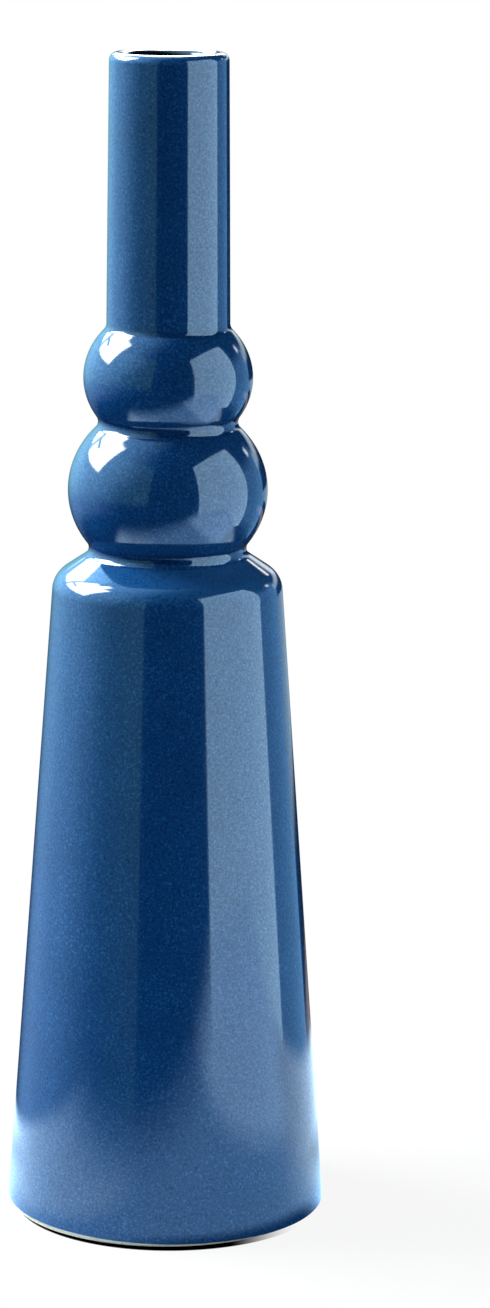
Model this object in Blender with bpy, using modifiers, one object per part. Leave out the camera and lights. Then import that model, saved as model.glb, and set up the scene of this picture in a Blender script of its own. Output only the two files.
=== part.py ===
"""Ceramic bud vase: a slim neck on two bulbs on a tapered body, blue glaze over pale clay.

Built as a potter builds it. Five turned clay sections (foot, body, two bulbs, neck) stack on
stepped seats, a ring of joining slip lies in each seat, and two coats of glaze, one outside and
one inside, cover the clay down to a bare foot. Every piece is turned about the Z axis, and its
outline comes from one shared outer line, moved inwards by the thickness of what lies outside it.

Units are metres, +Z is up, and the origin is the centre of the face that the vase stands on.
"""

import math

import bpy
from mathutils import Vector

MM = 0.001

# Outer form, measured on the glaze
LIP_DIAMETER = 29.2 * MM
NECK_FOOT_DIAMETER = 30.4 * MM
NECK_HEIGHT = 66.8 * MM
UPPER_BULB_DIAMETER = 41.7 * MM
UPPER_BULB_HEIGHT = 23.5 * MM
WAIST_DIAMETER = 32.7 * MM
LOWER_BULB_DIAMETER = 49.3 * MM
LOWER_BULB_HEIGHT = 31.6 * MM
COLLAR_DIAMETER = 36.6 * MM
SHOULDER_DIAMETER = 56.6 * MM
SHOULDER_DROP = 6.7 * MM
BODY_HEIGHT = 167.7 * MM
FOOT_DIAMETER = 80.0 * MM

# Roundings of the outer form and of the cavity
LIP_ROUNDING = 2.0 * MM
CREASE_ROUNDING = 2.4 * MM
SHOULDER_ROUNDING = 5.0 * MM
CAVITY_RIDGE_ROUNDING = 1.5 * MM
CAVITY_SHOULDER_ROUNDING = 5.0 * MM
CAVITY_FLOOR_ROUNDING = 3.0 * MM

# Thicknesses, from the outside in
GLAZE_THICKNESS = 0.5 * MM
CLAY_WALL = 3.3 * MM
LINER_THICKNESS = 0.5 * MM

# Foot: a floor over a shallow recess, which leaves a bare ring to stand on
FLOOR_THICKNESS = 5.0 * MM
RECESS_DEPTH = 2.0 * MM
FOOT_RING_WIDTH = 8.0 * MM
FOOT_CHAMFER = 0.8 * MM
GLAZE_LINE_HEIGHT = 1.4 * MM

# Seats: a tongue on the lower section, a rebate in the upper one, slip between them
TONGUE_THICKNESS = 1.2 * MM
TONGUE_HEIGHT = 2.0 * MM
SLIP_THICKNESS = 0.4 * MM
FIT_GAP = 0.3 * MM
LIP_GLAZE_OVERLAP = 4.0 * MM

# Facets
TURN_STEPS = 28
BULB_STEP = math.radians(14)
FILLET_STEP = math.radians(30)
SHARP_ANGLE = math.radians(35)
LARGEST_FILLET_SHARE = 0.45
STEP_SLACK = 1e-6
WELD_DISTANCE = 0.01 * MM

# Heights of the seats, from the foot up, and the slip bed that is centred on each
SLIP_BED = 2 * FIT_GAP + SLIP_THICKNESS
FLOOR_Z = RECESS_DEPTH + FLOOR_THICKNESS
FOOT_SEAT_Z = FLOOR_Z - TONGUE_HEIGHT + SLIP_BED / 2
COLLAR_Z = BODY_HEIGHT
WAIST_Z = COLLAR_Z + LOWER_BULB_HEIGHT
NECK_Z = WAIST_Z + UPPER_BULB_HEIGHT
LIP_Z = NECK_Z + NECK_HEIGHT

# Depths below the outer surface, from the outside in
GLAZE_BACK = GLAZE_THICKNESS
CLAY_FACE = GLAZE_BACK + FIT_GAP
CLAY_BACK = CLAY_FACE + CLAY_WALL
LINER_BACK = CLAY_BACK + FIT_GAP
LINER_FACE = LINER_BACK + LINER_THICKNESS

# Finishes
CLAY_COLOUR = (0.78, 0.70, 0.57, 1.0)
CLAY_ROUGHNESS = 0.85
SLIP_COLOUR = (0.72, 0.64, 0.52, 1.0)
SLIP_ROUGHNESS = 0.90
GLAZE_COLOUR = (0.006, 0.050, 0.180, 1.0)
GLAZE_ROUGHNESS = 0.08
LINER_COLOUR = (0.004, 0.034, 0.130, 1.0)
LINER_ROUGHNESS = 0.10


def arc(centre, radii, start, end, step):
    """Points of an elliptical arc, its ends included, in equal steps no larger than step."""
    steps = max(2, math.ceil(abs(end - start) / step - STEP_SLACK))
    angles = [start + (end - start) * i / steps for i in range(steps + 1)]
    spokes = [Vector((radii[0] * math.cos(a), radii[1] * math.sin(a))) for a in angles]
    return [Vector(centre) + spoke for spoke in spokes]


def bulb(radius, top, bottom):
    """The upright elliptical arc of that largest radius from the crease point top to bottom."""
    rise_share = math.sqrt(1 - (top[0] / radius) ** 2)
    fall_share = math.sqrt(1 - (bottom[0] / radius) ** 2)
    half_height = (top[1] - bottom[1]) / (rise_share + fall_share)
    centre = (0.0, top[1] - half_height * rise_share)
    return arc(centre, (radius, half_height), math.asin(rise_share), -math.asin(fall_share), BULB_STEP)


def outer_skeleton():
    """The glaze's outer line with sharp corners, lip to foot, and the index of each named corner."""
    lip = Vector((LIP_DIAMETER / 2, LIP_Z))
    neck_foot = Vector((NECK_FOOT_DIAMETER / 2, NECK_Z))
    waist = Vector((WAIST_DIAMETER / 2, WAIST_Z))
    collar = Vector((COLLAR_DIAMETER / 2, COLLAR_Z))
    shoulder = Vector((SHOULDER_DIAMETER / 2, COLLAR_Z - SHOULDER_DROP))
    foot = Vector((FOOT_DIAMETER / 2, 0.0))
    points = [lip, *bulb(UPPER_BULB_DIAMETER / 2, neck_foot, waist)]
    creases = [1, len(points) - 1]
    points += bulb(LOWER_BULB_DIAMETER / 2, waist, collar)[1:]
    creases.append(len(points) - 1)
    points += [shoulder, foot]
    return points, creases, len(points) - 2


def moved_inwards(points, depth):
    """The parallel line at that depth below a line that runs down the outside, with mitred corners."""
    runs = [(b - a).normalized() for a, b in zip(points, points[1:])]
    normals = [Vector((run.y, -run.x)) for run in runs]
    before = [normals[0], *normals]
    after = [*normals, normals[-1]]
    return [p + (m + n) * (depth / (1 + m.dot(n))) for p, m, n in zip(points, before, after)]


def fillet(before, corner, after, radius):
    """The arc that rounds a corner, held to what its two sides have room for."""
    to_before, to_after = before - corner, after - corner
    half_angle = to_before.angle(to_after) / 2
    room = LARGEST_FILLET_SHARE * min(to_before.length, to_after.length)
    tangent = min(radius / math.tan(half_angle), room)
    start = corner + to_before.normalized() * tangent
    end = corner + to_after.normalized() * tangent
    bisector = (to_before.normalized() + to_after.normalized()).normalized()
    centre = corner + bisector * (tangent / math.cos(half_angle))
    sweep = math.pi - 2 * half_angle
    turn = math.copysign(1.0, (start - centre).cross(end - centre))
    first = math.atan2(start.y - centre.y, start.x - centre.x)
    reach = (start - centre).length
    return arc(centre, (reach, reach), first, first + turn * sweep, FILLET_STEP)


def wall_line(depth, crease_rounding, shoulder_rounding):
    """The whole wall's line at that depth, lip to foot, with its creases and shoulder rounded."""
    points, creases, shoulder = outer_skeleton()
    points = moved_inwards(points, depth)
    roundings = {index: crease_rounding for index in creases}
    roundings[shoulder] = shoulder_rounding
    line = []
    for index, point in enumerate(points):
        if index in roundings:
            line += fillet(points[index - 1], point, points[index + 1], roundings[index])
        else:
            line.append(point)
    return line


def outer_line(depth):
    """A surface that follows the outer form: glaze face, glaze back or clay face."""
    return wall_line(depth, CREASE_ROUNDING + depth, SHOULDER_ROUNDING - depth)


def cavity_line(depth):
    """A surface that follows the cavity: clay back, liner back or liner face."""
    ridge = CAVITY_RIDGE_ROUNDING + depth - CLAY_BACK
    return wall_line(depth, ridge, CAVITY_SHOULDER_ROUNDING + LINER_FACE - depth)


def point_at(line, height):
    """The point of a falling line at that height."""
    for upper, lower in zip(line, line[1:]):
        if upper.y >= height >= lower.y:
            return upper.lerp(lower, (upper.y - height) / (upper.y - lower.y))
    raise ValueError(f"the line has no point at height {height:.4f}")


def stretch(line, top, bottom):
    """The part of a falling line between two heights, with its ends on them."""
    inside = [p for p in line if bottom < p.y < top]
    return [point_at(line, top), *inside, point_at(line, bottom)]


def lip_cap(inner_radius, outer_radius, crest, rounding):
    """The rounded lip: a gentle rise from the bore to the crest, then a tighter turn to the outer side."""
    centre = (outer_radius - rounding, crest - rounding)
    quarter = math.pi / 2
    rise = arc(centre, (centre[0] - inner_radius, rounding), 2 * quarter, quarter, FILLET_STEP)
    turn = arc(centre, (rounding, rounding), quarter, 0.0, FILLET_STEP)
    return rise + turn[1:]


def ledge_height(seat):
    """Where the lower section's ledge lies, half a slip bed under the seat's middle."""
    return seat - SLIP_BED / 2


def step_radius(seat):
    """The outer radius of the tongue in a seat, clear of the cavity at its widest there."""
    ledge = ledge_height(seat)
    cavity = stretch(cavity_line(CLAY_BACK), ledge + TONGUE_HEIGHT, ledge)
    return max(p.x for p in cavity) + TONGUE_THICKNESS


def rebate(seat):
    """The underside of an upper section, from its outer face in to the cavity, and its two heights."""
    skirt = ledge_height(seat) + SLIP_BED
    ceiling = ledge_height(seat) + TONGUE_HEIGHT + FIT_GAP
    recess = step_radius(seat) + SLIP_BED
    return [Vector((recess, skirt)), Vector((recess, ceiling))], skirt, ceiling


def tongue_and_ledge(seat):
    """The top of a lower section, from the cavity out to its outer face, and its two heights."""
    ledge = ledge_height(seat)
    tongue = ledge + TONGUE_HEIGHT
    step = step_radius(seat)
    return [Vector((step, tongue)), Vector((step, ledge))], tongue, ledge


def ring_section(upper_seat, lower_seat):
    """The closed outline of a clay section between two seats."""
    top_seat, tongue, ledge = tongue_and_ledge(upper_seat)
    bottom_seat, skirt, ceiling = rebate(lower_seat)
    outside = stretch(outer_line(CLAY_FACE), ledge, skirt)
    inside = stretch(cavity_line(CLAY_BACK), tongue, ceiling)
    return outside + bottom_seat + inside[::-1] + top_seat


def neck_section():
    """The neck, with its rounded lip under the glaze."""
    bottom_seat, skirt, ceiling = rebate(NECK_Z)
    rounding = LIP_ROUNDING - CLAY_FACE
    crest = LIP_Z - CLAY_FACE
    outside = stretch(outer_line(CLAY_FACE), crest - rounding, skirt)
    inside = stretch(cavity_line(CLAY_BACK), crest - rounding, ceiling)
    lip = lip_cap(inside[0].x, outside[0].x, crest, rounding)
    return outside[1:] + bottom_seat + inside[:0:-1] + lip


def foot_section():
    """The foot: floor and spigot above, bare ring and recess below, from axis to axis."""
    clay_face = outer_line(CLAY_FACE)
    spigot, floor, ledge = tongue_and_ledge(FOOT_SEAT_Z)
    edge = point_at(clay_face, FOOT_CHAMFER)
    ring_outer = edge.x - FOOT_CHAMFER
    ring_inner = ring_outer - FOOT_RING_WIDTH
    return [
        Vector((0.0, floor)),
        *spigot,
        point_at(clay_face, ledge),
        edge,
        Vector((ring_outer, 0.0)),
        Vector((ring_inner, 0.0)),
        Vector((ring_inner - RECESS_DEPTH, RECESS_DEPTH)),
        Vector((0.0, RECESS_DEPTH)),
    ]


def slip_ring(seat):
    """The slip in a seat: an L that lies on the ledge and stands against the tongue."""
    tongue_top = ledge_height(seat) + TONGUE_HEIGHT
    low = ledge_height(seat) + FIT_GAP
    bed_top = low + SLIP_THICKNESS
    inner = step_radius(seat) + FIT_GAP
    outer = point_at(outer_line(CLAY_FACE), seat).x - FIT_GAP
    return [
        Vector((inner, tongue_top)),
        Vector((inner + SLIP_THICKNESS, tongue_top)),
        Vector((inner + SLIP_THICKNESS, bed_top)),
        Vector((outer, bed_top)),
        Vector((outer, low)),
        Vector((inner, low)),
    ]


def outer_glaze():
    """The outer coat: up from the bare foot, over the lip and a little way into the bore."""
    face, back = outer_line(0.0), outer_line(GLAZE_BACK)
    bore, bore_back = cavity_line(LINER_FACE), cavity_line(LINER_BACK)
    lip_start = LIP_Z - LIP_ROUNDING
    overlap_end = LIP_Z - LIP_GLAZE_OVERLAP
    outside = stretch(face, lip_start, GLAZE_LINE_HEIGHT)
    under_outside = stretch(back, lip_start, GLAZE_LINE_HEIGHT)
    inside = stretch(bore, lip_start, overlap_end)
    under_inside = stretch(bore_back, lip_start, overlap_end)
    back_rounding = LIP_ROUNDING - GLAZE_THICKNESS
    under_lip = lip_cap(under_inside[0].x, under_outside[0].x, LIP_Z - GLAZE_THICKNESS, back_rounding)
    lip = lip_cap(inside[0].x, outside[0].x, LIP_Z, LIP_ROUNDING)
    return outside[1:] + under_outside[:0:-1] + under_lip[::-1] + under_inside[1:] + inside[:0:-1] + lip


def inner_glaze():
    """The inner coat that holds the water: from the floor's centre up the cavity and back down."""
    face, back = cavity_line(LINER_FACE), cavity_line(LINER_BACK)
    top = LIP_Z - LIP_GLAZE_OVERLAP - FIT_GAP
    floor_back = FLOOR_Z + FIT_GAP
    floor_face = floor_back + LINER_THICKNESS
    inside = stretch(face, top, floor_face)
    outside = stretch(back, top, floor_back)
    floor_centre = Vector((0.0, floor_face))
    pool = fillet(floor_centre, inside[-1], inside[-2], CAVITY_FLOOR_ROUNDING)
    return [floor_centre, *pool, *inside[-2::-1], *outside, Vector((0.0, floor_back))]


def material(name, colour, roughness):
    """A plain finish in the piece's own colour."""
    made = bpy.data.materials.new(name)
    made.use_nodes = True
    shader = made.node_tree.nodes["Principled BSDF"]
    shader.inputs["Base Color"].default_value = colour
    shader.inputs["Roughness"].default_value = roughness
    shader.inputs["Metallic"].default_value = 0.0
    return made


def turned(name, outline, closed, seat, finish, collection, parent):
    """Turns an outline about the Z axis into one named object whose origin lies at its seat."""
    sketch = bpy.data.meshes.new(name + "_outline")
    edges = [(i, i + 1) for i in range(len(outline) - 1)]
    if closed:
        edges.append((len(outline) - 1, 0))
    sketch.from_pydata([(p.x, 0.0, p.y - seat) for p in outline], edges, [])
    piece = bpy.data.objects.new(name, sketch)
    collection.objects.link(piece)
    turn = piece.modifiers.new("Turn", "SCREW")
    turn.axis = "Z"
    turn.angle = 2 * math.pi
    turn.steps = TURN_STEPS
    turn.render_steps = TURN_STEPS
    turn.use_merge_vertices = True
    turn.merge_threshold = WELD_DISTANCE
    solid = bpy.data.meshes.new_from_object(piece.evaluated_get(bpy.context.evaluated_depsgraph_get()))
    piece.modifiers.clear()
    piece.data = solid
    bpy.data.meshes.remove(sketch)
    solid.name = name
    solid.shade_smooth()
    solid.set_sharp_from_angle(angle=SHARP_ANGLE)
    solid.materials.append(finish)
    piece.location.z = seat
    piece.parent = parent
    return piece


def main():
    for old in list(bpy.data.objects):
        bpy.data.objects.remove(old)
    collection = bpy.data.collections.new("ceramic_bud_vase")
    bpy.context.scene.collection.children.link(collection)
    axis = bpy.data.objects.new("vase_axis", None)
    collection.objects.link(axis)

    clay = material("bare_clay", CLAY_COLOUR, CLAY_ROUGHNESS)
    slip = material("joining_slip", SLIP_COLOUR, SLIP_ROUGHNESS)
    glaze = material("blue_glaze", GLAZE_COLOUR, GLAZE_ROUGHNESS)
    liner = material("liner_glaze", LINER_COLOUR, LINER_ROUGHNESS)

    pieces = [
        ("foot", foot_section(), False, 0.0, clay),
        ("tapered_body", ring_section(COLLAR_Z, FOOT_SEAT_Z), True, FOOT_SEAT_Z, clay),
        ("lower_bulb", ring_section(WAIST_Z, COLLAR_Z), True, COLLAR_Z, clay),
        ("upper_bulb", ring_section(NECK_Z, WAIST_Z), True, WAIST_Z, clay),
        ("neck", neck_section(), True, NECK_Z, clay),
        ("outer_glaze", outer_glaze(), True, GLAZE_LINE_HEIGHT, glaze),
        ("inner_glaze", inner_glaze(), False, FLOOR_Z, liner),
    ]
    seats = {"foot": FOOT_SEAT_Z, "collar": COLLAR_Z, "waist": WAIST_Z, "neck": NECK_Z}
    for name, seat in seats.items():
        pieces.append((name + "_slip_ring", slip_ring(seat), True, seat, slip))
    for name, outline, closed, seat, finish in pieces:
        turned(name, outline, closed, seat, finish, collection, axis)


main()
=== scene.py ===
# %% [markdown]
# # A blue glazed bud vase
#
# This lesson dresses a vase whose construction is already fixed: five turned clay sections, four rings of
# joining slip and two coats of glaze. Nothing is resized here. The three pieces that an eye can reach, the
# outer coat, the lining of the bore and the bare foot, are turned again with a much finer surface. The hidden
# pieces keep their shape. All of them get a finish made with nodes: two of glaze and two of clay.

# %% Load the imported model
import math

import bpy
import numpy as np
from mathutils import Matrix, Vector


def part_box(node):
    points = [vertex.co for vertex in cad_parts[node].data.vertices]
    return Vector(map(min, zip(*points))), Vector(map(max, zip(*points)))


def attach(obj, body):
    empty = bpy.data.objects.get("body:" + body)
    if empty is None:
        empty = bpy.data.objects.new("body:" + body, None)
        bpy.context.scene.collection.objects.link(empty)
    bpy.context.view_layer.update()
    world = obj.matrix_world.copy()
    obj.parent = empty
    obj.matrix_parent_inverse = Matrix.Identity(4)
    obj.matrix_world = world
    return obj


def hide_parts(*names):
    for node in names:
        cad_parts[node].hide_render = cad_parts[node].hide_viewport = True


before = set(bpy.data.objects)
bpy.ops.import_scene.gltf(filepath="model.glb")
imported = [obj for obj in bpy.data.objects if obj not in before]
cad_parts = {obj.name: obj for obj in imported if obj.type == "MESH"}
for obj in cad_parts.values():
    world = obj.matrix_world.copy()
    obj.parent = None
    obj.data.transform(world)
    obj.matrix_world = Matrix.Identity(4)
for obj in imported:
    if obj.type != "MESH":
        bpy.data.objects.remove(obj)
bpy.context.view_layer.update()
MM = 0.001
print("nodes in the frame:", ", ".join(sorted(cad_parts)))

# %% [markdown]
# ## The camera
#
# A photograph of a tall narrow thing is taken from far away with a long lens, or its lip and foot would seem
# to belong to two different objects. The lens and the place below make the lip's ellipse as flat and the
# foot's as round as a picture 490 pixels wide and 1308 high shows them. The camera is turned a little to the
# right of the vase, because the picture has the vase left of its middle. Turning is better than shifting the
# lens, since a shift would stay when the camera is moved to another side.

# %% The camera
PICTURE_HEIGHT = 1308
FOCAL_LENGTH_IN_PIXELS = 4315.5
SENSOR_LONG_SIDE = 36.0
CAMERA_PLACE = (0.0, -1048.5 * MM, 364.4 * MM)
CAMERA_TURN_RIGHT = math.radians(1.055)
CAMERA_TILT_DOWN = math.radians(12.016)
CAMERA_ROLL = math.radians(0.416)


def place_camera():
    lens = bpy.data.cameras.new("studio_camera")
    lens.sensor_width = SENSOR_LONG_SIDE
    lens.lens = FOCAL_LENGTH_IN_PIXELS / PICTURE_HEIGHT * SENSOR_LONG_SIDE
    camera = bpy.data.objects.new("studio_camera", lens)
    turn = Matrix.Rotation(-CAMERA_TURN_RIGHT, 4, "Z")
    tilt = Matrix.Rotation(math.pi / 2 - CAMERA_TILT_DOWN, 4, "X")
    roll = Matrix.Rotation(CAMERA_ROLL, 4, "Z")
    camera.matrix_world = Matrix.Translation(CAMERA_PLACE) @ turn @ tilt @ roll
    bpy.context.scene.collection.objects.link(camera)
    bpy.context.scene.camera = camera
    print(f"camera with a {lens.lens:.1f} mm lens, {-CAMERA_PLACE[1]:.2f} m in front of the vase")


place_camera()

# %% [markdown]
# ## Reading the outline from the frame
#
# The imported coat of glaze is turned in 28 flat steps, and its bulbs in steps of 14 degrees, so it can't be
# shown as it is: a glossy surface tells of every facet. Subdividing it would round the facets but also melt
# the creases. But each of its corners lies exactly on the form, so the form can be measured back. The neck,
# the shoulder and the cone are straight lines. The bulbs are ellipses about the axis, and for such an ellipse
# the squared radius is a parabola of the height, so three corners are enough to know it.

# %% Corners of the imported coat
SAME_POINT = 0.001 * MM
FACING = 0.05


def corners_facing(node, sign):
    """Corners of a turned node on faces that look away from the axis (+1) or at it (-1), top first."""
    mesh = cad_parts[node].data
    found = {}
    for face in mesh.polygons:
        outwards = face.normal.xy.dot(face.center.xy.normalized())
        if outwards * sign > FACING:
            for index in face.vertices:
                place = mesh.vertices[index].co
                corner = np.array((place.xy.length, place.z))
                found[tuple(np.round(corner / SAME_POINT))] = corner
    return np.array(sorted(found.values(), key=lambda corner: -corner[1]))


seat_heights = {}
for seat in ("neck", "waist", "collar"):
    seat_heights[seat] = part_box(seat + "_slip_ring")[0].z
slip_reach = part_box("neck_slip_ring")[1].x
coat_low, coat_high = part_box("outer_glaze")
lip_height = coat_high.z
glaze_line = coat_low.z
coat_corners = corners_facing("outer_glaze", 1)
coat_corners = coat_corners[coat_corners[:, 0] > slip_reach]
print(f"{len(coat_corners)} corners, from {glaze_line / MM:.1f} to {lip_height / MM:.1f} mm high")

# %% Lines and bulbs through the corners
CREASE_CLEARANCE = 3.0 * MM


def between(corners, top, bottom):
    return corners[(corners[:, 1] <= top) & (corners[:, 1] >= bottom)]


def longest_facet(top, bottom):
    """The two ends of the longest straight facet between two heights."""
    corners = between(coat_corners, top, bottom)
    lengths = np.linalg.norm(np.diff(corners, axis=0), axis=1)
    longest = int(np.argmax(lengths))
    return corners[longest], corners[longest + 1]


def straight_wall(ends):
    """The radius of a straight wall as a formula of the height."""
    return np.polynomial.Polynomial.fit([p[1] for p in ends], [p[0] for p in ends], 1)


def bulb_wall(top, bottom):
    """The squared radius of a bulb as a formula of the height."""
    corners = between(coat_corners, top - CREASE_CLEARANCE, bottom + CREASE_CLEARANCE)
    return np.polynomial.Polynomial.fit(corners[:, 1], corners[:, 0] ** 2, 2)


neck_wall = straight_wall(longest_facet(lip_height, seat_heights["neck"]))
upper_bulb_wall = bulb_wall(seat_heights["neck"], seat_heights["waist"])
lower_bulb_wall = bulb_wall(seat_heights["waist"], seat_heights["collar"])
cone_ends = longest_facet(seat_heights["collar"], glaze_line)
cone_wall = straight_wall(cone_ends)
shoulder_wall = straight_wall(longest_facet(seat_heights["collar"], cone_ends[0][1]))
print(f"lip radius {neck_wall(lip_height) / MM:.2f} mm, foot radius {cone_wall(0.0) / MM:.2f} mm")

# %% [markdown]
# ## Rounding the creases
#
# Where two sections meet, a potter runs a wet finger round the join, and the glaze then fills the corner a
# little more. A bevel on the finished mesh would need its corners found and selected. On the outline the
# same thing is simple arithmetic: a ball is rolled along the outside, and wherever it can't reach, the form
# is filled up to it. Rolling the ball along the inside instead rounds the edge of the shoulder. That ball is
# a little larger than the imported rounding, because the highlight on the shoulder is that soft. It moves the
# surface by less than 0.2 mm.

# %% The rounded outline
HEIGHT_STEP = 0.02 * MM
CREASE_BALL = 2.4 * MM
SHOULDER_BALL = 6.5 * MM


def filled_by_ball(radii, ball):
    """The line that a ball of that radius leaves when it rolls along the outside."""
    reach = int(ball / HEIGHT_STEP)
    cap = np.sqrt(ball**2 - (np.arange(-reach, reach + 1) * HEIGHT_STEP) ** 2)

    def windows(line):
        padded = np.pad(line, reach, mode="reflect", reflect_type="odd")
        return np.lib.stride_tricks.sliding_window_view(padded, len(cap))

    centres = (windows(radii) + cap).max(axis=1)
    return (windows(centres) - cap).min(axis=1)


heights = np.arange(lip_height, 0.0, -HEIGHT_STEP)
walls = [neck_wall(heights)]
for bulb in (upper_bulb_wall, lower_bulb_wall):
    walls.append(np.sqrt(np.maximum(bulb(heights), 0.0)))
walls.append(np.minimum(shoulder_wall(heights), cone_wall(heights)))
radii = filled_by_ball(np.maximum.reduce(walls), CREASE_BALL)
radii = -filled_by_ball(-radii, SHOULDER_BALL)
form = np.column_stack((radii, heights))
waist = between(form, seat_heights["waist"] + CREASE_CLEARANCE, seat_heights["waist"] - CREASE_CLEARANCE)
print(f"the waist is {2 * waist[:, 0].min() / MM:.1f} mm across after rounding")

# %% [markdown]
# ## The outline of the outer coat
#
# The coat is a skin half a millimetre thick that runs from just above the table, over the lip and a few
# millimetres into the bore. It is made as a closed loop, so that the turned piece is a solid skin with an
# inside, and its lower edge is rolled like the bead in which runny glaze stops. The points along the loop lie
# closer together where it bends, because that is where a reflection would show a corner.

# %% Helpers for outlines
NO_BEND = 1e-9


def arc(centre, radii, start, end, count):
    """Points of an elliptical arc between two angles in degrees."""
    angles = np.radians(np.linspace(start, end, count))
    return np.array(centre) + np.array(radii) * np.column_stack((np.cos(angles), np.sin(angles)))


def thinned(line, count):
    """Points along a dense line, shared out half by length and half by bend."""
    runs = np.diff(line, axis=0)
    lengths = np.linalg.norm(runs, axis=1)
    headings = np.unwrap(np.arctan2(runs[:, 1], runs[:, 0]))
    bends = np.abs(np.gradient(headings))
    share = np.cumsum(lengths / lengths.sum() + bends / max(bends.sum(), NO_BEND))
    share = np.concatenate(([0.0], share / share[-1]))
    wanted = np.linspace(0.0, 1.0, count)
    return np.column_stack([np.interp(wanted, share, line[:, axis]) for axis in (0, 1)])


def set_in(line, depth):
    """The line moved to its right hand by that depth, which may differ from point to point."""
    along = np.gradient(line, axis=0)
    along /= np.linalg.norm(along, axis=1)[:, None]
    return line + np.column_stack((along[:, 1], -along[:, 0])) * np.reshape(depth, (-1, 1))


# %% The outer coat's outline
COAT_THICKNESS = 0.5 * MM
COAT_TO_CLAY = 0.78 * MM
LIP_ROUNDING = 2.0 * MM
LIP_POINTS = 18
BEAD_RADIUS = 0.3 * MM
BEAD_LIFT = BEAD_RADIUS / 3
BEAD_POINTS = 8
BEAD_REACH = 3.0 * MM
FACE_POINTS = 260
BACK_EVERY = 5
bore_radius = corners_facing("outer_glaze", -1)[:, 0].min()
bore_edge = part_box("inner_glaze")[1].z


def lip_line():
    """From inside the bore, up over the lip and down to the outer side."""
    level = lip_height - LIP_ROUNDING
    side = np.interp(level, form[::-1, 1], form[::-1, 0])
    centre = (side - LIP_ROUNDING, level)
    rise = arc(centre, (centre[0] - bore_radius, LIP_ROUNDING), 180, 90, LIP_POINTS)
    turn = arc(centre, (LIP_ROUNDING, LIP_ROUNDING), 90, 0, LIP_POINTS)
    return np.vstack(([(bore_radius, bore_edge)], rise, turn[1:]))


def bead_line(face_end):
    """The rolled lower edge, from the coat's face round to the clay."""
    roll = arc(face_end - (BEAD_RADIUS, 0.0), (BEAD_RADIUS, BEAD_RADIUS), 0, -90, BEAD_POINTS)[1:]
    at_clay = (face_end[0] - COAT_TO_CLAY, glaze_line + BEAD_LIFT)
    return np.vstack((roll, [at_clay]))


def outer_coat_outline():
    """The closed loop of the coat: bore, lip, outside, bead, and back up behind them."""
    side = between(form, lip_height - LIP_ROUNDING - HEIGHT_STEP, glaze_line + BEAD_RADIUS)
    face = np.vstack((lip_line(), thinned(side, FACE_POINTS)))
    nearness = np.clip(1 - (face[:, 1] - glaze_line) / BEAD_REACH, 0, 1)
    depth = COAT_THICKNESS + (COAT_TO_CLAY - COAT_THICKNESS) * nearness
    back = set_in(face, depth)[:-1:BACK_EVERY]
    loop = np.vstack((face, bead_line(face[-1]), back[::-1]))
    return np.vstack((loop, loop[:1]))


coat_outline = outer_coat_outline()
print(f"the outer coat's outline has {len(coat_outline)} points")

# %% [markdown]
# ## The lining's outline
#
# Inside, a second coat makes the pot hold water. Only its first centimetres show through the mouth, and from
# straight above its floor does too. Its packed corners are joined by a smooth curve that passes through each
# of them, which is enough here, where nothing reflects a window.

# %% The lining's outline
CURVE_STEPS = 5


def smooth_through(points):
    """A curve through all points, its speed at each set by its two neighbours."""
    ends = np.vstack((2 * points[0] - points[1], points, 2 * points[-1] - points[-2]))
    strides = np.sqrt(np.linalg.norm(np.diff(ends, axis=0), axis=1))
    knots = np.concatenate(([0.0], np.cumsum(strides)))

    def glide(low, high, start, end, t):
        return start + (end - start) * (t - knots[low]) / (knots[high] - knots[low])

    line = [points[0]]
    for i in range(1, len(ends) - 2):
        t = np.linspace(knots[i], knots[i + 1], CURVE_STEPS + 1)[1:, None]
        before = glide(i - 1, i, ends[i - 1], ends[i], t)
        middle = glide(i, i + 1, ends[i], ends[i + 1], t)
        after = glide(i + 1, i + 2, ends[i + 1], ends[i + 2], t)
        early = glide(i - 1, i + 1, before, middle, t)
        late = glide(i, i + 2, middle, after, t)
        line.extend(glide(i, i + 1, early, late, t))
    return np.array(line)


def lining_outline():
    """From the floor's middle up the wet side, over the top edge and down behind it to the axis."""
    wet = corners_facing("inner_glaze", -1)
    dry = corners_facing("inner_glaze", 1)
    floor_middle = (0.0, wet[-1][1])
    under_middle = (0.0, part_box("inner_glaze")[0].z)
    wet_side = smooth_through(np.vstack((wet, [floor_middle])))
    return np.vstack((wet_side[::-1], smooth_through(dry), [under_middle]))


lining_line = lining_outline()
print(f"the lining's outline has {len(lining_line)} points, its floor is {lining_line[0][1] / MM:.1f} mm up")

# %% [markdown]
# ## The foot's outline
#
# The foot is left bare, or the glaze would weld the pot to the kiln shelf. A thin cream line of it shows
# under the glaze. On the wheel its underside is hollowed with a trimming tool, which leaves a ring to stand
# on and fine rings in the hollow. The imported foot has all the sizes. Here its edges are softened, as a potter
# does with a wet sponge, and the tool marks are added.

# %% The foot's outline
SPONGED_EDGE = 0.8 * MM
SPONGE_POINTS = 7
TOOL_MARK_PITCH = 2.4 * MM
TOOL_MARK_DEPTH = 0.10 * MM
HOLLOW_POINTS = 110


def sponged(before, corner, after):
    """A corner of an outline, worn round."""
    before, corner, after = (np.array(p) for p in (before, corner, after))
    start = corner + (before - corner) / np.linalg.norm(before - corner) * SPONGED_EDGE
    end = corner + (after - corner) / np.linalg.norm(after - corner) * SPONGED_EDGE
    share = np.linspace(0.0, 1.0, SPONGE_POINTS)[:, None]
    return (1 - share) ** 2 * start + 2 * share * (1 - share) * corner + share**2 * end


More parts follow.
